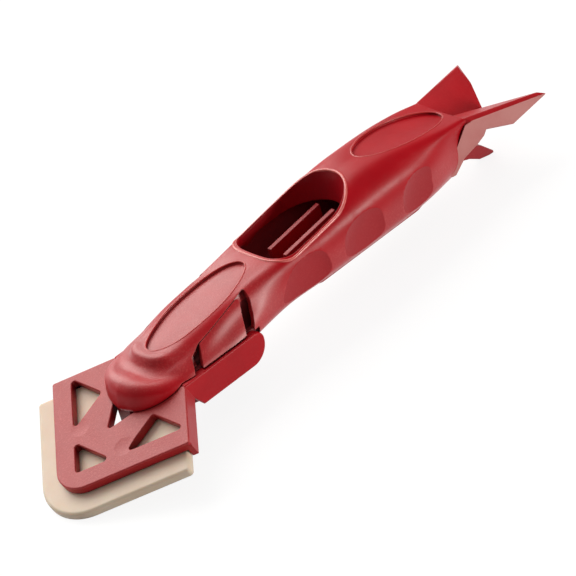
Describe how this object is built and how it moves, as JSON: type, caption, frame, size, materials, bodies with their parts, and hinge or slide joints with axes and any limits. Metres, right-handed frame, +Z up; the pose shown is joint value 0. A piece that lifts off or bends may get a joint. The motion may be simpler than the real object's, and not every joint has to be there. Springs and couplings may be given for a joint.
{
  "type": "sealant finishing and removal hand tool",
  "caption": "Hand tool for sealant beads: slim moulded handle, slide-in head with a soft corner blade, two-winged scraper and hook at the tail.",
  "frame": {"origin": "bottom centre of the whole tool's bounding box at rest, on the table that the blade tip and the hook stand on", "axes": "+X from the blade to the tail, +Y to the side of release_tab_right, +Z up; the handle falls 4 degrees towards the tail"},
  "size_m": [0.2034, 0.0694, 0.0339],
  "materials": {
    "handle_plastic": "red moulded plastic, fine grain on the top recesses and nose, satin on the sides",
    "base_plastic": "red moulded plastic, satin",
    "tab_plastic": "red moulded plastic, fine grain",
    "head_plastic": "red moulded plastic, fine grain on the plate, satin edges",
    "blade_elastomer": "cream elastomer, matt, slightly translucent"
  },
  "bodies": {
    "handle": {"handle_shell": "handle_plastic", "handle_base": "base_plastic"},
    "head": {"head_frame": "head_plastic"},
    "blade": {"finishing_blade": "blade_elastomer"},
    "tab_left": {"release_tab_left": "tab_plastic"},
    "tab_right": {"release_tab_right": "tab_plastic"}
  },
  "joints": [
    {"name": "head_slide", "type": "slide", "parent": "handle", "child": "head", "axis": [-0.9563, 0, -0.2924], "range_m": [0, 0.035]},
    {"name": "blade_pull", "type": "slide", "parent": "head", "child": "blade", "axis": [0.2924, 0, -0.9563], "range_m": [0, 0.008]},
    {"name": "tab_left_press", "type": "hinge", "parent": "handle", "child": "tab_left", "pos_m": [-0.03225, -0.01086, 0.02687], "axis": [0.9852, 0.0879, 0.1472], "range_deg": [0, 4], "stiffness_Nm_per_rad": 0.6},
    {"name": "tab_right_press", "type": "hinge", "parent": "handle", "child": "tab_right", "pos_m": [-0.03225, 0.01086, 0.02687], "axis": [-0.9852, 0.0879, -0.1472], "range_deg": [0, 4], "stiffness_Nm_per_rad": 0.6}
  ]
}
